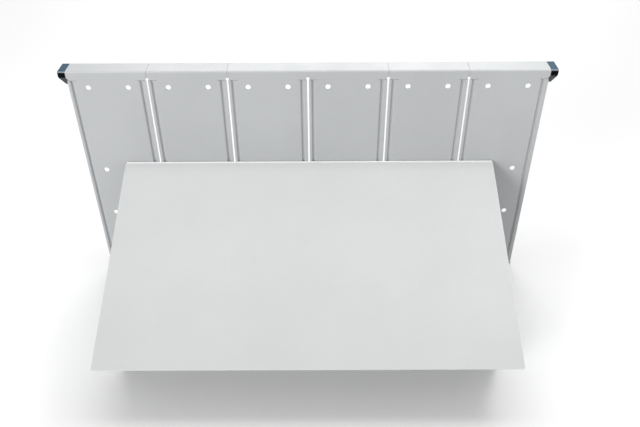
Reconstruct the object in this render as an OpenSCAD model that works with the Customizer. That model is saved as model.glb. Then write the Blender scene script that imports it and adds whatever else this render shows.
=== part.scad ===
// Folding board station: six joined sheet-metal back panels carry a wide sloping
// board on a continuous hinge. Side cheeks hold the board at its working slope.
// Origin: on the bench, under the middle of the whole object.
// Front is -Y, +X is to the right as the user stands, +Z is up.

/* [Back panels] */
// Width of one back panel
panel_w = 120; // [110:1:130]
// Height of a back panel
panel_h = 380; // [376:1:400]
// Depth of the folded top and the folded bottom
fold_d = 31; // [28:1:34]
// Height of the folded top's rear lip
lip_h = 24; // [20:1:28]
// Thickness of the panels' sheet metal
sheet_t = 1.5; // [1.2:0.1:1.6]
// Diameter of the fixing holes
hole_d = 8; // [7.4:0.1:8.4]

/* [Board] */
// Width of the board
board_w = 590; // [584:2:604]
// Depth of the board from its back edge to its front edge
board_d = 346; // [336:1:356]
// Thickness of the board
board_t = 2; // [1.8:0.1:2.4]
// Slope of the board, down towards the front
slope = 22; // [20:1:24]
// Height of the board's back edge above the bottom of the panels
board_h = 223; // [220:1:226]

/* [Hinge] */
// Radius of the rolled knuckles
knuckle_r = 2; // [1.9:0.05:2.2]
// Radius of the hinge pin
pin_r = 1.2; // [1.1:0.05:1.25]
// Number of knuckles, an odd number, with fixed ones at both ends
knuckles = 21; // [15:2:31]

/* [Supports] */
// Distance of each cheek's screws from the middle
cheek_x = 270; // [266:1:274]
// Width of the cheek's flanges
flange_w = 36; // [34:1:40]
// Gap between the board and the cheeks, filled by the bumpers
cheek_gap = 8; // [7:0.5:10]
// Height of the rubber feet
foot_h = 4; // [3:0.5:6]

/* [Hidden] */

panels = 6;
all_w = panels * panel_w;
top_z = foot_h + panel_h;

// Beads pressed into a panel along its sides, the strips beyond them, and the gap between
// neighbouring panels
side_gap = 2.5;
seam_gap = 0.4;
bead_depth = 3;
bead_w = 6;
bead_floor = 1.6;
bead_r = 1.2;
left_strip = 3.2;
right_strip = 4.8;
// Plain zones above and below the beads, with slits and corner notches between
top_zone = 14.2;
base_zone = 4;
slit_h = 0.8;
slit_l = 14.5;
notch_w = 2.1;
notch_h = 3.5;
fold_r = 1.8;
bend_steps = 6;

// Heights of the hole rows above the bottom of the panel
row_top = panel_h - 26.3;
row_mid = board_h - 16;
row_low = row_mid - 86;
row_base = 26;
hole_dx = panel_w / 4;
hole_bevel = 0.5;
// Hole columns under the board, between the outermost two
inner_columns = [for (i = [0:panels * 2 - 3]) (i - panels + 1.5) * 2 * hole_dx];

// Screws and nuts
screw_r = 3;
head_r = 5.25;
head_h = 3.3;
head_rim = 0.45;
head_top = 0.6;
screw_past = 1;
nut_w = 10;
nut_h = 5;
nut_bevel = 0.8;
socket_w = 4;
socket_h = 2;
small_screw_r = 2;
small_head_r = 3.8;
small_head_h = 2.4;
small_nut_w = 7;
small_nut_h = 3.2;
small_screw_past = 2;
hood_screw_past = 3;
clear_r = 3.3;
small_clear = 0.3;
lip_clear = 0.1;
spacer_play = 0.05;

// Hood rail and end caps
rail_t = 1.5;
rail_play = 0.1;
hood_rail_h = 10;
cap_w = 11;
cap_h = 32;
cap_front_h = 9;
cap_r = 2.5;
cap_front_r = 7;
cap_foot = 6;
cap_foot_r = 3;
cap_rim = 1.6;
cap_sink = 0.6;
plug_l = 22;
plug_play = 1;

// Rear rails
rear_rail_h = 40;
rear_rail_d = 20;
rear_rail_w = 620;
rear_rail_y = sheet_t + bead_depth;

// Hinge axis and the board's own directions
wall_gap = 0.3;
axis_y = -knuckle_r - wall_gap;
axis_z = foot_h + board_h - knuckle_r;
leaf_t = 1;
fixed_leaf_h = 24;
moving_leaf_d = 26;
leaf_inset = 3;
moving_leaf_inset = 10;
pin_play = 0.05;
pin_head_h = 0.8;
pin_head_r = 1.7;
barrel_inset = 1;
barrel_w = board_w - 2 * barrel_inset;
knuckle_w = barrel_w / knuckles;
knuckle_gap = 0.3;
edge_play = 0.2;
corner_r = 3;

// Board stiffeners
stiff_w = 470;
stiff_h = 12;
stiff_d = 30;
stiff_flange = 12;
stiff_t = 1;
stiff_r = 1.5;
stiff_rear_at = 120;
stiff_front_at = 262;

// Cheeks
cheek_t = 2;
cheek_r = 2.5;
cheek_side = 19;
cheek_out = cheek_x + cheek_side;
cheek_top_y = -14;
cheek_front_y = -292;
cheek_toe_y = -232;
cheek_back_h = board_h - 33;
cheek_flange_z = 15;
cheek_flange_y = 6;

// Bumpers and feet
bumper_r = 7;
bumper_gap = 0.3;
bumper_rear_at = 60;
bumper_front_at = 280;
stem_r = 2.5;
stem_play = 0.1;
foot_r = 9;
foot_bevel = 1;
foot_front_y = -210;
foot_rear_x = 330;
foot_rear_y = 16;

// Tie bar
tie_y = -224;
tie_h = 25;
tie_d = 22;
tie_t = 2;
tie_inset = 6;
tie_hole_l = 10;

// Distance of the panels' front faces behind the origin, which is midway front to back
front_reach = -axis_y + (board_d - knuckle_r) * cos(slope) + board_t * sin(slope);
face_y = (front_reach - fold_d - small_head_h) / 2;

// Carries a piece from the panels' front faces, at y = 0, to its place about the origin
module placed() {
    translate([0, face_y, 0]) children();
}

// The board's own frame: y up the slope to the hinge axis, z up from the underside
module board_frame() {
    translate([0, axis_y, axis_z]) rotate([slope, 0, 0]) children();
}

// Height of the board's underside above the bench, at a distance y in front of the panels
function underside_z(y) = axis_z + (y - axis_y) * tan(slope);

// Middle line of one bead that starts at x, in X and Y
function bead_line(x) = let (mid = sheet_t / 2, side = (bead_w - bead_floor) / 2) [
    [x, mid],
    [x + side, mid + bead_depth],
    [x + bead_w - side, mid + bead_depth],
    [x + bead_w, mid]];

// Middle line of a panel between its top and base zones, in X and Y
function beaded_line() = let (half = (panel_w - side_gap) / 2) concat(
    [[-half, sheet_t / 2]],
    bead_line(-half + left_strip),
    bead_line(half - right_strip - bead_w),
    [[half, sheet_t / 2]]);

function unit(v) = v / norm(v);
function left(v) = [-v[1], v[0]];
function turned(v, t) = [v[0] * cos(t) - v[1] * sin(t), v[0] * sin(t) + v[1] * cos(t)];
function reversed(v) = [for (i = [len(v) - 1:-1:0]) v[i]];

// Points of a round bend of the middle line at p, from direction a to direction b
function bend(p, a, b, d, r) =
    let (t = atan2(a[0] * b[1] - a[1] * b[0], a * b))
    let (s = sign(t))
    let (centre = p - r * tan(abs(t) / 2) * a + s * r * left(a))
    [for (i = [0:bend_steps]) centre - s * (r - s * d) * turned(left(a), t * i / bend_steps)];

// One face of a folded sheet: points at a distance d to the left of its middle line
function fold_face(line, d, r) = let (last = len(line) - 1) concat(
    [line[0] + d * left(unit(line[1] - line[0]))],
    [for (i = [1:last - 1])
        each bend(line[i], unit(line[i] - line[i - 1]), unit(line[i + 1] - line[i]), d, r)],
    [line[last] + d * left(unit(line[last] - line[last - 1]))]);

// Cross-section of a folded sheet of thickness t, with bends of radius r about its middle line
module folded(line, t, r) {
    polygon(concat(fold_face(line, t / 2, r), reversed(fold_face(line, -t / 2, r))));
}

// Extrudes an outline in Y and Z along X, centred on x = 0
module along_x(w) {
    rotate([90, 0, 90]) linear_extrude(height = w, center = true) children();
}

// Cylinder along Y, from y0 to y1
module along_y(r, y0, y1) {
    translate([0, y0, 0]) rotate([-90, 0, 0]) cylinder(r = r, h = y1 - y0, $fn = 48);
}

// What is cut away for one fixing hole, with its front edge turned off
module fixing_hole() {
    along_y(hole_d / 2, -1, sheet_t + 1);
    translate([0, -1, 0]) rotate([-90, 0, 0])
        cylinder(r1 = hole_d / 2 + hole_bevel + 1, r2 = hole_d / 2, h = hole_bevel + 1, $fn = 48);
}

// Button-head screw along Y with a hexagon socket, its head on the face at y_face
module button_screw(y_face, y_end) {
    rim_h = head_h * head_rim;
    difference() {
        union() {
            along_y(screw_r, y_face, y_end);
            along_y(head_r, y_face - rim_h, y_face);
            translate([0, y_face - rim_h, 0]) rotate([90, 0, 0])
                cylinder(r1 = head_r, r2 = head_r * head_top, h = head_h - rim_h, $fn = 48);
        }
        translate([0, y_face - head_h - 1, 0]) rotate([-90, 0, 0])
            cylinder(d = socket_w / cos(30), h = socket_h + 1, $fn = 6);
    }
}

// Hexagon nut along Y with turned-off corners, its bearing face at y0
module hex_nut(y0) {
    corner = nut_w / 2 / cos(30);
    translate([0, y0, 0]) rotate([-90, 0, 0]) difference() {
        intersection() {
            cylinder(r = corner, h = nut_h, $fn = 6);
            union() {
                cylinder(r = corner + 1, h = nut_h - nut_bevel, $fn = 48);
                translate([0, 0, nut_h - nut_bevel])
                    cylinder(r1 = corner, r2 = nut_w / 2 - nut_bevel / 4, h = nut_bevel, $fn = 48);
            }
        }
        translate([0, 0, -1]) cylinder(r = screw_r, h = nut_h + 2, $fn = 48);
    }
}

// One back panel: folded top with rear lip, flat face with beaded sides, folded bottom
module back_panel(i) {
    full_w = panel_w - seam_gap;
    core_w = full_w - 2 * slit_l;
    zone_h = panel_h - top_zone - base_zone - 2 * slit_h;
    mid = sheet_t / 2;
    color([0.76, 0.77, 0.78])
    placed()
    translate([(i - (panels - 1) / 2) * panel_w, 0, foot_h])
    difference() {
        union() {
            translate([0, 0, panel_h]) along_x(full_w)
                folded([[mid, -top_zone], [mid, -mid], [fold_d - mid, -mid],
                    [fold_d - mid, -lip_h]], sheet_t, fold_r);
            along_x(full_w)
                folded([[mid, base_zone], [mid, mid], [fold_d, mid]], sheet_t, fold_r);
            translate([-core_w / 2, 0, base_zone - 1])
                cube([core_w, sheet_t, panel_h - top_zone - base_zone + 2]);
            translate([0, 0, base_zone + slit_h])
                linear_extrude(height = zone_h) folded(beaded_line(), sheet_t, bead_r);
        }
        // relief at the top end of each gap
        for (sx = [-1, 1])
            translate([sx * panel_w / 2, 0, panel_h - top_zone + (notch_h - 1) / 2])
                cube([2 * notch_w, 2 * sheet_t + 1, notch_h + 1], center = true);
        for (sx = [-1, 1])
            for (z = [row_top, row_mid, row_low, row_base])
                translate([sx * hole_dx, 0, z]) fixing_hole();
        for (sx = [-1, 1])
            translate([sx * hole_dx, 0, panel_h - hood_rail_h / 2 - sheet_t])
                along_y(small_screw_r + lip_clear, fold_d - sheet_t - 1, fold_d + 1);
        if (i == 0 || i == panels - 1)
            translate([i == 0 ? -hole_dx : hole_dx, foot_rear_y, -1])
                cylinder(r = stem_r + stem_play, h = sheet_t + 2, $fn = 48);
    }
}

// Channel inside the folded tops, open downwards
module hood_rail() {
    y0 = sheet_t + rail_play;
    mid = rail_t / 2;
    width = fold_d - 2 * y0;
    color("silver")
    placed()
    difference() {
        translate([0, y0, top_z - y0]) along_x(all_w - 1)
            folded([[mid, -hood_rail_h], [mid, -mid], [width - mid, -mid],
                [width - mid, -hood_rail_h]], rail_t, fold_r);
        for (x = hood_columns())
            translate([x, 0, top_z - hood_rail_h / 2 - sheet_t])
                along_y(small_screw_r + lip_clear, fold_d - y0 - rail_t - 1, fold_d - y0 + 1);
    }
}

function hood_columns() =
    [for (i = [0:panels - 1]) for (sx = [-1, 1]) (i - (panels - 1) / 2) * panel_w + sx * hole_dx];

// Side outline of an end cap, or the same outline drawn in by a rim all round
module cap_outline(rim) {
    w = fold_d - 2 * rim;
    r = cap_r - rim / 2;
    front = [0, -cap_front_h + rim / 2];
    heel = [w, -cap_h + 2 * rim];
    toe = heel - [cap_foot - rim, 0];
    under = unit(front - toe);
    translate([rim, -rim]) polygon(concat(
        bend([0, 0], [0, 1], [1, 0], 0, r),
        bend([w, 0], [1, 0], [0, -1], 0, r),
        bend(heel, [0, -1], [-1, 0], 0, r),
        bend(toe, [-1, 0], under, 0, cap_foot_r),
        bend(front, under, [0, 1], 0, cap_front_r)));
}

// Moulded cap with a plug that goes into the hood rail
module end_cap(side) {
    plug_y = sheet_t + rail_play + rail_t + rail_play;
    plug_w = fold_d - 2 * plug_y;
    plug_h = hood_rail_h - rail_t - plug_play;
    color([0.08, 0.11, 0.15])
    placed()
    mirror([side < 0 ? 1 : 0, 0, 0])
    translate([all_w / 2, 0, top_z]) {
        difference() {
            translate([cap_w / 2, 0, 0]) along_x(cap_w) cap_outline(0);
            // shallow panel sunk into the outer face
            translate([cap_w, 0, 0]) along_x(2 * cap_sink) cap_outline(cap_rim);
        }
        translate([(1 - plug_l) / 2, plug_y, -plug_y]) along_x(plug_l + 1)
            polygon([[0, -plug_h], [0, -rail_t], [rail_t, 0],
                [plug_w - rail_t, 0], [plug_w, -rail_t], [plug_w, -plug_h]]);
    }
}

// Channel across the back of the panels at one row of holes, open to the rear
module rear_rail(z) {
    flange_z = (rear_rail_h - rail_t) / 2;
    color("silver")
    placed()
    translate([0, rear_rail_y, foot_h + z]) difference() {
        along_x(rear_rail_w)
            folded([[rear_rail_d, -flange_z], [rail_t / 2, -flange_z],
                [rail_t / 2, flange_z], [rear_rail_d, flange_z]], rail_t, fold_r);
        for (x = inner_columns)
            translate([x, 0, 0]) along_y(clear_r, -1, rail_t + 1);
    }
}

// Even knuckles belong to the fixed leaf, odd ones to the moving leaf
module knuckle_row(first) {
    for (k = [first:2:knuckles - 1])
        translate([-barrel_w / 2 + k * knuckle_w + knuckle_gap / 2, 0, 0])
            children();
}

module knuckle() {
    rotate([0, 90, 0]) cylinder(r = knuckle_r, h = knuckle_w - knuckle_gap, $fn = 64);
}

module pin_bore() {
    rotate([0, 90, 0]) cylinder(r = pin_r + pin_play, h = board_w + 20, center = true, $fn = 64);
}

// Leaf screwed to the panels' middle row of holes, with its knuckles
module hinge_fixed_leaf() {
    leaf_w = 2 * (cheek_out - cheek_t - leaf_inset);
    tab_w = knuckle_w - knuckle_gap;
    color("silver")
    placed()
    translate([0, 0, axis_z]) difference() {
        union() {
            translate([-leaf_w / 2, -leaf_t, -fixed_leaf_h])
                cube([leaf_w, leaf_t, fixed_leaf_h - knuckle_r - edge_play]);
            translate([0, axis_y, 0]) knuckle_row(0) knuckle();
            knuckle_row(0) translate([0, -leaf_t, -knuckle_r - edge_play - 1])
                cube([tab_w, leaf_t, knuckle_r + edge_play + 1]);
        }
        translate([0, axis_y, 0]) pin_bore();
        for (x = inner_columns)
            translate([x, 0, foot_h + row_mid - axis_z]) along_y(clear_r, -leaf_t - 1, 1);
    }
}

// Leaf under the board's back edge, with its knuckles
module hinge_moving_leaf() {
    leaf_w = board_w - 2 * moving_leaf_inset;
    tab_w = knuckle_w - knuckle_gap;
    color("silver")
    placed()
    board_frame() difference() {
        union() {
            translate([-leaf_w / 2, -moving_leaf_d, -leaf_t])
                cube([leaf_w, moving_leaf_d - knuckle_r - edge_play, leaf_t]);
            knuckle_row(1) knuckle();
            knuckle_row(1) translate([0, -knuckle_r - edge_play - 1, -leaf_t])
                cube([tab_w, knuckle_r + edge_play + 1, leaf_t]);
        }
        pin_bore();
    }
}

// Pin with peened ends
module hinge_pin() {
    color("gray")
    placed()
    translate([0, axis_y, axis_z]) rotate([0, 90, 0]) {
        cylinder(r = pin_r, h = barrel_w, center = true, $fn = 64);
        for (s = [-1, 1])
            translate([0, 0, s * (barrel_w + pin_head_h) / 2])
                cylinder(r = pin_head_r, h = pin_head_h, center = true, $fn = 48);
    }
}

// The sloping board, flush with the top of the knuckles
module board() {
    back = -knuckle_r - edge_play;
    front = knuckle_r - board_d;
    color([0.86, 0.87, 0.87])
    placed()
    board_frame() linear_extrude(height = board_t) {
        translate([-board_w / 2, front + corner_r]) square([board_w, back - front - corner_r]);
        translate([-board_w / 2 + corner_r, front]) square([board_w - 2 * corner_r, corner_r + 1]);
        for (s = [-1, 1])
            translate([s * (board_w / 2 - corner_r), front + corner_r])
                circle(r = corner_r, $fn = 48);
    }
}

// Hat-section stiffener welded under the board
module board_stiffener(at) {
    brim = stiff_d / 2 + stiff_flange;
    wall = (stiff_d - stiff_t) / 2;
    mid = stiff_t / 2;
    color([0.8, 0.81, 0.82])
    placed()
    board_frame() translate([0, -at, 0]) along_x(stiff_w)
        folded([[-brim, -mid], [-wall, -mid], [-wall, mid - stiff_h],
            [wall, mid - stiff_h], [wall, -mid], [brim, -mid]], stiff_t, stiff_r);
}

// Outline in Y and Z of a cheek's side plate, from the panels to the toe
function cheek_outline() = let (drop = cheek_gap / cos(slope)) [
    [0, foot_h],
    [0, foot_h + cheek_back_h],
    [cheek_top_y, underside_z(cheek_top_y) - drop],
    [cheek_front_y, underside_z(cheek_front_y) - drop],
    [cheek_toe_y, foot_h]];

// What is cut away to round an edge that runs along Z, where the solid lies towards -X and -Y
module round_edge(h) {
    difference() {
        translate([-cheek_r, -cheek_r, 0]) cube([cheek_r + 1, cheek_r + 1, h]);
        translate([-cheek_r, -cheek_r, -1]) cylinder(r = cheek_r, h = h + 2, $fn = 48);
    }
}

// Folded side cheek: side plate with a back, a bottom and a sloping top flange
module cheek(side) {
    top_l = (cheek_top_y - cheek_front_y) / cos(slope);
    color([0.76, 0.77, 0.78])
    placed()
    mirror([side < 0 ? 1 : 0, 0, 0])
    difference() {
        union() {
            translate([cheek_out - cheek_t / 2, 0, 0])
                along_x(cheek_t) polygon(cheek_outline());
            // back flange, against the panels
            translate([cheek_out - flange_w, -cheek_t, foot_h + cheek_flange_z])
                cube([flange_w, cheek_t, cheek_back_h - cheek_flange_z]);
            // bottom flange
            translate([cheek_out - flange_w, cheek_toe_y, foot_h])
                cube([flange_w, -cheek_toe_y - cheek_flange_y, cheek_t]);
            // top flange, parallel to the board
            board_frame() translate([cheek_out - flange_w,
                    (cheek_front_y - axis_y) / cos(slope) - cheek_gap * tan(slope),
                    -cheek_gap - cheek_t])
                cube([flange_w, top_l, cheek_t]);
        }
        // round outer edges of the folds
        translate([cheek_out, 0, foot_h + cheek_flange_z - 1]) round_edge(cheek_back_h);
        translate([cheek_out, cheek_toe_y, foot_h]) rotate([0, 90, 0]) rotate([90, 0, 0])
            mirror([0, 0, 1]) round_edge(-cheek_toe_y - cheek_flange_y);
        board_frame() translate([cheek_out, 0, -cheek_gap]) rotate([90, 0, 0])
            translate([0, 0, -cheek_gap]) round_edge(board_d);
        for (z = [row_low, row_base])
            translate([cheek_x, 0, foot_h + z]) along_y(clear_r, -cheek_t - 1, 1);
        for (at = [bumper_rear_at, bumper_front_at])
            board_frame() translate([cheek_x, -at, -cheek_gap - cheek_t - 1])
                cylinder(r = stem_r + stem_play, h = cheek_t + 2, $fn = 48);
        translate([cheek_x, foot_front_y, foot_h - 1])
            cylinder(r = stem_r + stem_play, h = cheek_t + 2, $fn = 48);
        for (y = tie_screw_y())
            translate([cheek_out, y, foot_h + cheek_t + tie_h / 2])
                rotate([0, 90, 0])
                    cylinder(r = small_screw_r + small_clear, h = tie_hole_l, center = true, $fn = 48);
    }
}

function tie_screw_y() = [tie_y + tie_inset, tie_y + tie_d - tie_inset];

// Angle between the cheeks, with a tab at each end
module tie_bar() {
    half = cheek_out - cheek_t;
    z0 = foot_h + cheek_t;
    color("silver")
    placed()
    difference() {
        union() {
            translate([0, tie_y, z0 + tie_h]) along_x(2 * half)
                folded([[tie_t / 2, -tie_h], [tie_t / 2, -tie_t / 2], [tie_d, -tie_t / 2]],
                    tie_t, fold_r);
            for (s = [-1, 1])
                translate([s * (half - tie_t / 2), tie_y + tie_d / 2, z0 + tie_h / 2])
                    cube([tie_t, tie_d, tie_h], center = true);
        }
        for (y = tie_screw_y())
            translate([0, y, z0 + tie_h / 2])
                rotate([0, 90, 0])
                    cylinder(r = small_screw_r + small_clear, h = 4 * half, center = true, $fn = 48);
    }
}

// Rubber bumper with a stem through the cheek's top flange
module bumper(side, at) {
    color([0.12, 0.12, 0.12])
    placed()
    board_frame() translate([side * cheek_x, -at, -cheek_gap]) {
        cylinder(r = bumper_r, h = cheek_gap - bumper_gap, $fn = 48);
        translate([0, 0, -cheek_t - 1]) cylinder(r = stem_r, h = cheek_t + 2, $fn = 48);
    }
}

// Rubber foot with a stem through the sheet above it
module foot(x, y, stem_h) {
    color([0.12, 0.12, 0.12])
    placed()
    translate([x, y, 0]) {
        cylinder(r1 = foot_r - foot_bevel, r2 = foot_r, h = foot_bevel, $fn = 48);
        translate([0, 0, foot_bevel])
            cylinder(r = foot_r, h = foot_h - foot_bevel, $fn = 48);
        translate([0, 0, foot_h - 1]) cylinder(r = stem_r, h = stem_h + 2, $fn = 48);
    }
}

// Screws of the fixed leaf, in the panels' middle row of holes
module leaf_screws() {
    color("gainsboro")
    placed()
    for (x = inner_columns)
        translate([x, 0, foot_h + row_mid]) button_screw(-leaf_t, sheet_t + nut_h + screw_past);
}

module leaf_nuts() {
    color("gainsboro")
    placed()
    for (x = inner_columns)
        translate([x, 0, foot_h + row_mid]) hex_nut(sheet_t);
}

// Columns of the rear rails that don't carry a cheek
function plain_columns() = [for (x = inner_columns) if (abs(x) < cheek_x - 1) x];

module rail_screws() {
    color("gainsboro")
    placed()
    for (z = [row_low, row_base])
        for (x = plain_columns())
            translate([x, 0, foot_h + z])
                button_screw(0, rear_rail_y + rail_t + nut_h + screw_past);
}

module rail_nuts() {
    color("gainsboro")
    placed()
    for (z = [row_low, row_base])
        for (x = inner_columns)
            translate([x, 0, foot_h + z]) hex_nut(rear_rail_y + rail_t);
}

// Rings that fill the beads' depth between panel and rail
module rail_spacers() {
    color("gainsboro")
    placed()
    for (z = [row_low, row_base])
        for (x = inner_columns)
            translate([x, 0, foot_h + z]) difference() {
                along_y(head_r, sheet_t, rear_rail_y);
                along_y(screw_r + spacer_play, sheet_t - 1, rear_rail_y + 1);
            }
}

module cheek_screws() {
    color("gainsboro")
    placed()
    for (z = [row_low, row_base])
        for (s = [-1, 1])
            translate([s * cheek_x, 0, foot_h + z])
                button_screw(-cheek_t, rear_rail_y + rail_t + nut_h + screw_past);
}

// Pan-head screws through the rear lip into the hood rail
module hood_screws() {
    color("gainsboro")
    placed()
    for (x = hood_columns())
        translate([x, 0, top_z - hood_rail_h / 2 - sheet_t]) {
            along_y(small_screw_r, fold_d - sheet_t - rail_t - hood_screw_past, fold_d);
            along_y(small_head_r, fold_d, fold_d + small_head_h);
        }
}

module tie_screws() {
    z = foot_h + cheek_t + tie_h / 2;
    shank_l = cheek_t + tie_t + small_nut_h + small_screw_past;
    color("gainsboro")
    placed()
    for (s = [-1, 1])
        for (y = tie_screw_y())
            mirror([s < 0 ? 1 : 0, 0, 0]) translate([cheek_out, y, z]) rotate([0, 90, 0]) {
                cylinder(r = small_head_r, h = small_head_h, $fn = 48);
                translate([0, 0, -shank_l])
                    cylinder(r = small_screw_r, h = shank_l + 1, $fn = 48);
            }
}

module tie_nuts() {
    z = foot_h + cheek_t + tie_h / 2;
    color("gainsboro")
    placed()
    for (s = [-1, 1])
        for (y = tie_screw_y())
            mirror([s < 0 ? 1 : 0, 0, 0])
                translate([cheek_out - cheek_t - tie_t - small_nut_h, y, z]) rotate([0, 90, 0])
                    difference() {
                        cylinder(d = small_nut_w / cos(30), h = small_nut_h, $fn = 6);
                        translate([0, 0, -1])
                            cylinder(r = small_screw_r, h = small_nut_h + 2, $fn = 48);
                    }
}

back_panel(0);  // back_panel_1
back_panel(1);  // back_panel_2
back_panel(2);  // back_panel_3
back_panel(3);  // back_panel_4
back_panel(4);  // back_panel_5
back_panel(5);  // back_panel_6
hood_rail();
end_cap(-1);  // end_cap_left
end_cap(1);  // end_cap_right
rear_rail(row_low);  // rear_rail_upper
rear_rail(row_base);  // rear_rail_lower
hinge_fixed_leaf();
hinge_pin();
cheek(-1);  // cheek_left
cheek(1);  // cheek_right
tie_bar();
bumper(-1, bumper_rear_at);  // bumper_left_rear
bumper(-1, bumper_front_at);  // bumper_left_front
bumper(1, bumper_rear_at);  // bumper_right_rear
bumper(1, bumper_front_at);  // bumper_right_front
foot(-cheek_x, foot_front_y, cheek_t);  // foot_front_left
foot(cheek_x, foot_front_y, cheek_t);  // foot_front_right
foot(-foot_rear_x, foot_rear_y, sheet_t);  // foot_rear_left
foot(foot_rear_x, foot_rear_y, sheet_t);  // foot_rear_right
leaf_screws();
leaf_nuts();
rail_screws();
rail_nuts();
rail_spacers();
cheek_screws();
hood_screws();
tie_screws();
tie_nuts();
board();
hinge_moving_leaf();
board_stiffener(stiff_rear_at);  // board_stiffener_rear
board_stiffener(stiff_front_at);  // board_stiffener_front
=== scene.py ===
import math

import bmesh
import bpy
from mathutils import Matrix, Vector


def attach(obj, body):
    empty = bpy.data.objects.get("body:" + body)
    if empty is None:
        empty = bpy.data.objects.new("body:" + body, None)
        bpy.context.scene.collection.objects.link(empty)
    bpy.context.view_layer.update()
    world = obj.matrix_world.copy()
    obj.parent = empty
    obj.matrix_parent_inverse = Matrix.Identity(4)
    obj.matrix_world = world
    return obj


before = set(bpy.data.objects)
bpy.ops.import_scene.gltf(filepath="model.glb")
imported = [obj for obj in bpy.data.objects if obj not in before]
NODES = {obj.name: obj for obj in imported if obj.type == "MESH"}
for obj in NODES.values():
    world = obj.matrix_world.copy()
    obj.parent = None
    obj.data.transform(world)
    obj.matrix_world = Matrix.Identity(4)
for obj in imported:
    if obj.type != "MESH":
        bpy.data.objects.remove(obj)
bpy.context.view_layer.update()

# Camera: where it stands, how far it looks down, its small turns about Z and about its own axis, and its
# focal length in millimetres
CAMERA_AT = Vector((0.0195, -0.7994, 0.8330))
CAMERA_DOWN = math.radians(37.075)
CAMERA_TURN = math.radians(0.156)
CAMERA_ROLL = math.radians(-0.326)
CAMERA_LENS = 38.99

# Floor: half its side in metres, and how many cells its mesh has along each side
FLOOR_REACH = 25.0
FLOOR_CELLS = 8

# Spot welds, in metres: radius, how far the rim stands proud, spacing, and distance from a sheet's edge
WELD_RADIUS = 0.003
WELD_PROUD = 0.00015
WELD_STEP = 0.052
WELD_IN = 0.006
# How many sides each ring of a weld mark has
WELD_SIDES = 24
# Half outline of a weld mark, from its rim to its middle, as shares of its radius and of its height
WELD_PROFILE = ((1.0, -1.0), (0.98, 0.2), (0.86, 1.0), (0.72, 0.9), (0.6, -0.1), (0.4, 0.0), (0.2, 0.15))

X_AXIS = Vector((1.0, 0.0, 0.0))

# Where all the soft lights point
LIGHTS_AIM = Vector((0.0, 0.0, 0.2))
# Soft lights: where each stands, its width and height, and its power in watts
LIGHTS = {
    "overhead": ((0.0, 0.08, 1.4), (1.6, 0.4), 6.3),
    "overhead_right": ((0.7, 0.05, 1.3), (0.5, 0.4), 2.7),
    "rear": ((0.0, 2.6, 1.6), (2.0, 1.0), 22.7),
    "rear_right": ((1.2, 2.2, 1.9), (2.0, 1.2), 9.1),
    "front_left": ((-1.9, -1.7, 1.2), (1.2, 1.2), 4.8),
    "far_left": ((-2.6, -2.9, 1.5), (1.6, 1.6), 76.0),
}
# Strength of the white light that comes from all around
ROOM_LIGHT = 0.6

# Which material each CAD node gets, by the start of its name
FINISHES = {
    "back_panel": "panel_paint",
    "cheek_left": "panel_paint",
    "cheek_right": "panel_paint",
    "board": "board_paint",
    # The hinge leaves get a lighter paint, a painted highlight along the board's back edge
    "hinge_fixed_leaf": "hinge_highlight_paint",
    "hinge_moving_leaf": "hinge_highlight_paint",
    "end_cap": "cap_plastic",
    "hood_rail": "zinc_sheet",
    "rear_rail": "zinc_sheet",
    "tie_bar": "zinc_sheet",
    "hinge_pin": "pin_steel",
    "foot": "rubber",
    "bumper": "rubber",
    "leaf_": "zinc_fastener",
    "rail_": "zinc_fastener",
    "cheek_screws": "zinc_fastener",
    "hood_screws": "zinc_fastener",
    "tie_screws": "zinc_fastener",
    "tie_nuts": "zinc_fastener",
}

# How far the sharp edges of each finish are rounded, in metres
EDGE_ROUNDING = {
    "panel_paint": 0.0003,
    "board_paint": 0.0006,
    "hinge_highlight_paint": 0.0003,
    "cap_plastic": 0.0005,
    "zinc_sheet": 0.0002,
    "zinc_fastener": 0.00025,
    "pin_steel": 0.0002,
    "rubber": 0.0006,
}
# Faces that meet at more than this angle are rounded, in this many steps
ROUNDED_ANGLE = math.radians(50)
ROUNDED_STEPS = 2

# Noise values between which a colour goes from its first tone to its second
NOISE_LOW = 0.35
NOISE_HIGH = 0.65
# The same for roughness, which changes more slowly
ROUGH_LOW = 0.3
ROUGH_HIGH = 0.7
# How alike the true and the rounded normal still are where an edge counts as fully worn, and how many
# samples the rounded normal takes
WORN_LIKENESS = 0.75
WORN_SAMPLES = 4
# How far a face of an end cap looks up, from where the painted highlight on its folds and the painted
# sheen on its top barely show to where they fully show
FOLD_HIGHLIGHT_RISE = (0.25, 0.6)
TOP_SHEEN_RISE = (0.9, 0.98)
# Noise values between which rubber goes from black to dusty
RUBBER_DUST = (0.4, 0.75)

# Colours are linear red, green and blue. Powder coats: dull, clean, specks, worn edges; the board's and
# the hinge's light worn edges are also a painted highlight
PAINTS = {
    "panel_paint": ((0.435, 0.446, 0.454), (0.46, 0.472, 0.48), (0.52, 0.53, 0.54), (0.52, 0.53, 0.54)),
    "board_paint": ((0.505, 0.513, 0.513), (0.525, 0.533, 0.533), (0.6, 0.61, 0.61), (0.84, 0.85, 0.85)),
    # The hinge paint is a lighter copy of the board's: a painted highlight for the knuckle line at the
    # board's back edge
    "hinge_highlight_paint": ((0.73, 0.74, 0.74), (0.76, 0.77, 0.77), (0.8, 0.81, 0.81), (0.86, 0.87, 0.87)),
}
# Two tones of each other material
MOULDING_TONES = ((0.0005, 0.001, 0.002), (0.001, 0.003, 0.005))
# The end caps' top tones are a painted sheen: a lighter blue on upward faces for the light they catch
CAP_TOP_SHEEN_TONES = ((0.032, 0.072, 0.11), (0.06, 0.105, 0.145))
ZINC_SHEET_TONES = ((0.5, 0.51, 0.52), (0.6, 0.61, 0.62))
ZINC_FASTENER_TONES = ((0.46, 0.48, 0.51), (0.66, 0.67, 0.69))
PIN_STEEL_TONES = ((0.4, 0.4, 0.41), (0.55, 0.55, 0.56))
RUBBER_TONES = ((0.012, 0.012, 0.012), (0.035, 0.034, 0.032))
FLOOR_TONES = ((0.87, 0.87, 0.87), (0.89, 0.89, 0.89))
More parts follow.
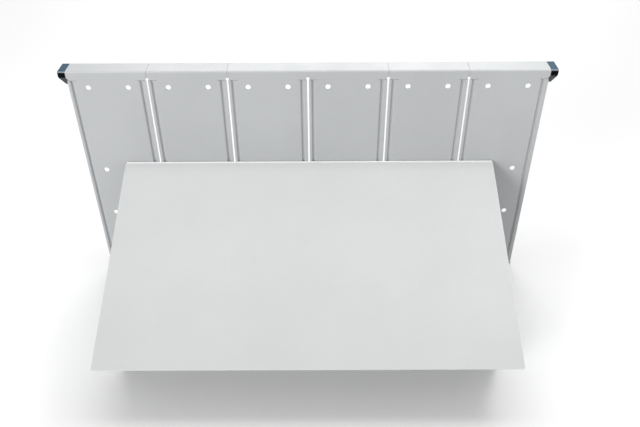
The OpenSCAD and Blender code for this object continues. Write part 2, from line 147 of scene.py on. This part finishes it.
# Their edges and marks
MOULDING_SCUFFED = (0.012, 0.018, 0.025)
# Pale colour of the painted highlight on the end caps' upper folds
MOULDING_FOLD_HIGHLIGHT = (0.3, 0.33, 0.36)
ZINC_ROLLING_LINE = (0.42, 0.43, 0.44)
ZINC_SHEET_EDGE = (0.75, 0.75, 0.75)
ZINC_FASTENER_EDGE = (0.8, 0.8, 0.8)
RUBBER_EDGE = (0.06, 0.058, 0.055)


class Shade:
    """A procedural material in the making: a Principled shader fed by object-space textures."""

    def __init__(self, name, **fixed):
        self.material = bpy.data.materials.new(name)
        self.material.use_nodes = True
        self.nodes = self.material.node_tree.nodes
        self.links = self.material.node_tree.links
        self.shader = self.nodes["Principled BSDF"]
        self.place = self.nodes.new("ShaderNodeTexCoord").outputs["Object"]
        for socket, value in fixed.items():
            self.shader.inputs[socket.replace("_", " ")].default_value = value

    def stretched(self, scale):
        """Object coordinates multiplied by a scale along each axis."""
        mapping = self.nodes.new("ShaderNodeMapping")
        mapping.inputs["Scale"].default_value = scale
        self.links.new(self.place, mapping.inputs["Vector"])
        return mapping.outputs["Vector"]

    def noise(self, per_metre, detail=2.0, place=None):
        """Smooth noise with this many features to the metre."""
        node = self.nodes.new("ShaderNodeTexNoise")
        node.inputs["Scale"].default_value = per_metre
        node.inputs["Detail"].default_value = detail
        self.links.new(place or self.place, node.inputs["Vector"])
        return node.outputs["Fac"]

    def cells(self, per_metre):
        """A chance value for each crystal-like cell, with this many cells to the metre."""
        node = self.nodes.new("ShaderNodeTexVoronoi")
        node.inputs["Scale"].default_value = per_metre
        self.links.new(self.place, node.inputs["Vector"])
        grey = self.nodes.new("ShaderNodeSeparateColor")
        self.links.new(node.outputs["Color"], grey.inputs["Color"])
        return grey.outputs["Red"]

    def spread(self, value, low=NOISE_LOW, high=NOISE_HIGH, out_low=0.0, out_high=1.0):
        """Maps low..high to out_low..out_high, held at the ends."""
        node = self.nodes.new("ShaderNodeMapRange")
        for socket, number in zip(("From Min", "From Max", "To Min", "To Max"),
                                  (low, high, out_low, out_high)):
            node.inputs[socket].default_value = number
        self.links.new(value, node.inputs["Value"])
        return node.outputs["Result"]

    def mix(self, share, first, second):
        """Blend from the first colour to the second. Each is three numbers or a socket."""
        node = self.nodes.new("ShaderNodeMix")
        node.data_type = "RGBA"
        for socket, colour in ((node.inputs["A"], first), (node.inputs["B"], second)):
            if isinstance(colour, bpy.types.NodeSocket):
                self.links.new(colour, socket)
            else:
                socket.default_value = (*colour, 1.0)
        self.links.new(share, node.inputs["Factor"])
        return node.outputs["Result"]

    def edges(self, radius, most=1.0):
        """The most on outer and inner edges, 0 on flat faces."""
        bevel = self.nodes.new("ShaderNodeBevel")
        bevel.samples = WORN_SAMPLES
        bevel.inputs["Radius"].default_value = radius
        flat = self.nodes.new("ShaderNodeNewGeometry").outputs["Normal"]
        dot = self.nodes.new("ShaderNodeVectorMath")
        dot.operation = "DOT_PRODUCT"
        self.links.new(bevel.outputs["Normal"], dot.inputs[0])
        self.links.new(flat, dot.inputs[1])
        return self.spread(dot.outputs["Value"], 1.0, WORN_LIKENESS, 0.0, most)

    def upward(self):
        """How far the surface faces up: 1 on top, 0 on a side, -1 below."""
        normal = self.nodes.new("ShaderNodeNewGeometry").outputs["Normal"]
        parts = self.nodes.new("ShaderNodeSeparateXYZ")
        self.links.new(normal, parts.inputs["Vector"])
        return parts.outputs["Z"]

    def colour(self, socket):
        """The finished colour goes to the shader."""
        self.links.new(socket, self.shader.inputs["Base Color"])

    def roughness(self, value, smooth, rough):
        """Roughness from smooth to rough as the value rises."""
        spread = self.spread(value, ROUGH_LOW, ROUGH_HIGH, smooth, rough)
        self.links.new(spread, self.shader.inputs["Roughness"])

    def bumps(self, *layers):
        """Each layer is (height, how deep in metres)."""
        normal = None
        for height, depth in layers:
            node = self.nodes.new("ShaderNodeBump")
            node.inputs["Distance"].default_value = depth
            self.links.new(height, node.inputs["Height"])
            if normal is not None:
                self.links.new(normal, node.inputs["Normal"])
            normal = node.outputs["Normal"]
        self.links.new(normal, self.shader.inputs["Normal"])


def powder_coat(name, dull, clean, speck, wear_and_highlight):
    """Satin powder coat: fine orange peel, faint clouding and specks, thinner and lighter on the edges; on
    the board and the hinge the lighter edges are also a painted highlight.
    """
    shade = Shade(name, Specular_IOR_Level=0.45)
    cloud = shade.noise(per_metre=7.0, detail=3.0)
    peel = shade.noise(per_metre=1100.0, detail=1.5)
    body = shade.mix(shade.spread(cloud), dull, clean)
    specks = shade.spread(shade.noise(per_metre=320.0), out_high=0.12)
    specked = shade.mix(specks, body, speck)
    # Lighter edges: wear, and on the board and the hinge also a painted highlight along their rims
    shade.colour(shade.mix(shade.edges(radius=0.001, most=0.8), specked, wear_and_highlight))
    shade.roughness(shade.noise(per_metre=40.0, detail=4.0), smooth=0.36, rough=0.46)
    shade.bumps((cloud, 0.0006), (peel, 0.00003))
    return shade.material


def cap_plastic():
    """Blue-black moulding with a faint flow pattern, a painted highlight on its upper folds and a painted
    sheen on top.
    """
    shade = Shade("cap_plastic", Specular_IOR_Level=0.05)
    flow = shade.noise(per_metre=30.0, detail=3.0, place=shade.stretched((1.0, 1.0, 4.0)))
    grain = shade.noise(per_metre=900.0, detail=3.0)
    body = shade.mix(shade.spread(flow), *MOULDING_TONES)
    scuffed = shade.mix(shade.edges(radius=0.0006), body, MOULDING_SCUFFED)
    rise = shade.upward()
    # Painted highlight: the upper folds are made pale where light catches them
    fold_highlighted = shade.mix(shade.spread(rise, *FOLD_HIGHLIGHT_RISE, out_high=0.8), scuffed, MOULDING_FOLD_HIGHLIGHT)
    # Painted sheen: upward faces get a lighter blue for the sheen of light on top, broken up by the grain
    dust_and_sheen = shade.mix(shade.spread(grain), *CAP_TOP_SHEEN_TONES)
    shade.colour(shade.mix(shade.spread(rise, *TOP_SHEEN_RISE), fold_highlighted, dust_and_sheen))
    shade.roughness(shade.noise(per_metre=180.0, detail=4.0), smooth=0.24, rough=0.36)
    shade.bumps((grain, 0.00002))
    return shade.material


def zinc_sheet():
    """Zinc-plated sheet: faint spangle, rolling lines along X and brighter edges."""
    shade = Shade("zinc_sheet", Metallic=1.0)
    spangle = shade.cells(per_metre=90.0)
    rolled = shade.noise(per_metre=60.0, detail=4.0, place=shade.stretched((1.0, 40.0, 40.0)))
    body = shade.mix(spangle, *ZINC_SHEET_TONES)
    lined = shade.mix(shade.spread(rolled, out_high=0.3), body, ZINC_ROLLING_LINE)
    shade.colour(shade.mix(shade.edges(radius=0.0006), lined, ZINC_SHEET_EDGE))
    shade.roughness(spangle, smooth=0.3, rough=0.45)
    shade.bumps((rolled, 0.00004), (shade.noise(per_metre=900.0), 0.00001))
    return shade.material


def zinc_fastener():
    """Bright zinc plate over turned steel, a little blue, with dull patches."""
    shade = Shade("zinc_fastener", Metallic=1.0)
    patch = shade.noise(per_metre=260.0, detail=4.0)
    body = shade.mix(shade.spread(patch), *ZINC_FASTENER_TONES)
    shade.colour(shade.mix(shade.edges(radius=0.0004), body, ZINC_FASTENER_EDGE))
    shade.roughness(patch, smooth=0.24, rough=0.4)
    shade.bumps((shade.noise(per_metre=2500.0), 0.00001))
    return shade.material


def pin_steel():
    """Drawn steel with fine lines along the pin."""
    shade = Shade("pin_steel", Metallic=1.0)
    lines = shade.noise(per_metre=300.0, detail=3.0, place=shade.stretched((0.1, 10.0, 10.0)))
    shade.colour(shade.mix(shade.spread(lines), *PIN_STEEL_TONES))
    shade.roughness(lines, smooth=0.25, rough=0.4)
    shade.bumps((lines, 0.00002))
    return shade.material


def rubber():
    """Matt black rubber with a grained, slightly dusty skin."""
    shade = Shade("rubber", Specular_IOR_Level=0.3)
    dust_and_sheen = shade.noise(per_metre=220.0, detail=4.0)
    body = shade.mix(shade.spread(dust_and_sheen, *RUBBER_DUST), *RUBBER_TONES)
    shade.colour(shade.mix(shade.edges(radius=0.0008), body, RUBBER_EDGE))
    shade.roughness(dust_and_sheen, smooth=0.6, rough=0.85)
    shade.bumps((shade.noise(per_metre=1500.0, detail=3.0), 0.00008))
    return shade.material


def floor_paint():
    """Pale floor with the faintest clouding."""
    shade = Shade("pale_floor", Specular_IOR_Level=0.1, Roughness=0.9)
    shade.colour(shade.mix(shade.noise(per_metre=2.0), *FLOOR_TONES))
    return shade.material


MATERIALS = {name: powder_coat(name, *colours) for name, colours in PAINTS.items()}
MATERIALS.update(
    cap_plastic=cap_plastic(),
    zinc_sheet=zinc_sheet(),
    zinc_fastener=zinc_fastener(),
    pin_steel=pin_steel(),
    rubber=rubber(),
)


def finish_of(name):
    """The finish whose key is the longest that a node's name starts with."""
    return FINISHES[max((key for key in FINISHES if name.startswith(key)), key=len)]


def soften(obj, width):
    """Rounds the sharp edges of a piece."""
    bevel = obj.modifiers.new("edge_rounding", "BEVEL")
    bevel.width = width
    bevel.segments = ROUNDED_STEPS
    bevel.limit_method = "ANGLE"
    bevel.angle_limit = ROUNDED_ANGLE
    bevel.use_clamp_overlap = True
    bevel.harden_normals = True


def dress_cad_nodes():
    """Gives every CAD node its rounded edges and its finish."""
    for name, obj in NODES.items():
        soften(obj, EDGE_ROUNDING[finish_of(name)])
        for slot in obj.material_slots:
            slot.material = MATERIALS[finish_of(name)]


def board_axes():
    """Unit vectors out of the board's underside, and up its slope."""
    board = NODES["board"]
    face = max(board.data.polygons, key=lambda polygon: polygon.area)
    out = (board.matrix_world.to_3x3() @ face.normal).normalized()
    if out.z > 0:
        out = -out
    return out, X_AXIS.cross(out)


def extent(obj, axis):
    """Lowest and highest place of an object's vertices along an axis."""
    places = [(obj.matrix_world @ vertex.co).dot(axis) for vertex in obj.data.vertices]
    return min(places), max(places)


def add_weld(shape, centre, out, across):
    """One round mark: a raised rim around a shallow pressed dish."""
    side = out.cross(across)
    rings = []
    for share, height in WELD_PROFILE:
        rings.append([
            shape.verts.new(centre + out * WELD_PROUD * height
                            + (across * math.cos(turn) + side * math.sin(turn)) * WELD_RADIUS * share)
            for turn in (2 * math.pi * k / WELD_SIDES for k in range(WELD_SIDES))
        ])
    for outer, inner in zip(rings, rings[1:]):
        for k in range(WELD_SIDES):
            nxt = (k + 1) % WELD_SIDES
            shape.faces.new((outer[k], outer[nxt], inner[nxt], inner[k]))
    shape.faces.new(rings[-1])


def make_weld_rows(name, node, places):
    """One piece: rows of spot welds along X, at places up the slope, on the underside of a sheet."""
    out, up = board_axes()
    sheet = NODES[node]
    low_x, high_x = extent(sheet, X_AXIS)
    count = round((high_x - low_x) / WELD_STEP)
    start = (low_x + high_x - (count - 1) * WELD_STEP) / 2
    below = extent(sheet, out)[1] + WELD_RADIUS
    to_local = sheet.matrix_world.inverted()
    shape = bmesh.new()
    for place in places:
        for k in range(count):
            ray_from = X_AXIS * (start + k * WELD_STEP) + up * place + out * below
            hit, spot, _, _ = sheet.ray_cast(to_local @ ray_from, to_local.to_3x3() @ -out)
            if hit:
                add_weld(shape, sheet.matrix_world @ spot, out, X_AXIS)
    bmesh.ops.recalc_face_normals(shape, faces=shape.faces)
    mesh = bpy.data.meshes.new(name)
    shape.to_mesh(mesh)
    shape.free()
    mesh.shade_smooth()
    rows = bpy.data.objects.new(name, mesh)
    rows.data.materials.append(MATERIALS[finish_of(node)])
    bpy.context.collection.objects.link(rows)
    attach(rows, "tilting_board")


def make_welds():
    """Marks where the stiffeners and the moving leaf are welded to the board."""
    up = board_axes()[1]
    for end in ("rear", "front"):
        low, high = extent(NODES["board_stiffener_" + end], up)
        make_weld_rows("welds_" + end, "board_stiffener_" + end, (low + WELD_IN, high - WELD_IN))
    low = extent(NODES["hinge_moving_leaf"], up)[0]
    make_weld_rows("welds_leaf", "hinge_moving_leaf", (low + WELD_IN,))


def make_floor():
    """A wide pale floor that the object stands on."""
    mesh = bpy.data.meshes.new("floor")
    shape = bmesh.new()
    bmesh.ops.create_grid(shape, x_segments=FLOOR_CELLS, y_segments=FLOOR_CELLS, size=FLOOR_REACH)
    shape.to_mesh(mesh)
    shape.free()
    floor = bpy.data.objects.new("floor", mesh)
    floor.data.materials.append(floor_paint())
    bpy.context.collection.objects.link(floor)


def area_light(name, at, size, power):
    """One soft rectangular light, turned towards the object."""
    data = bpy.data.lights.new(name, "AREA")
    data.shape = "RECTANGLE"
    data.size, data.size_y = size
    data.energy = power
    lamp = bpy.data.objects.new(name, data)
    lamp.location = at
    lamp.rotation_euler = (LIGHTS_AIM - Vector(at)).to_track_quat("-Z", "Y").to_euler()
    bpy.context.collection.objects.link(lamp)


def make_light():
    """Soft lights overhead, behind the object and to its left, in a pale room."""
    for name, (at, size, power) in LIGHTS.items():
        area_light(name, at, size, power)
    world = bpy.data.worlds.new("studio")
    world.use_nodes = True
    room = world.node_tree.nodes["Background"]
    room.inputs["Color"].default_value = (1.0, 1.0, 1.0, 1.0)
    room.inputs["Strength"].default_value = ROOM_LIGHT
    bpy.context.scene.world = world


def make_camera():
    """The camera in front of the object, looking down on it."""
    data = bpy.data.cameras.new("camera")
    data.lens = CAMERA_LENS
    camera = bpy.data.objects.new("camera", data)
    camera.matrix_world = (
        Matrix.Translation(CAMERA_AT)
        @ Matrix.Rotation(CAMERA_TURN, 4, "Z")
        @ Matrix.Rotation(math.pi / 2 - CAMERA_DOWN, 4, "X")
        @ Matrix.Rotation(CAMERA_ROLL, 4, "Z")
    )
    bpy.context.collection.objects.link(camera)
    bpy.context.scene.camera = camera


def main():
    make_camera()
    make_light()
    make_floor()
    dress_cad_nodes()
    make_welds()
    bpy.context.scene.view_settings.view_transform = "Standard"


main()
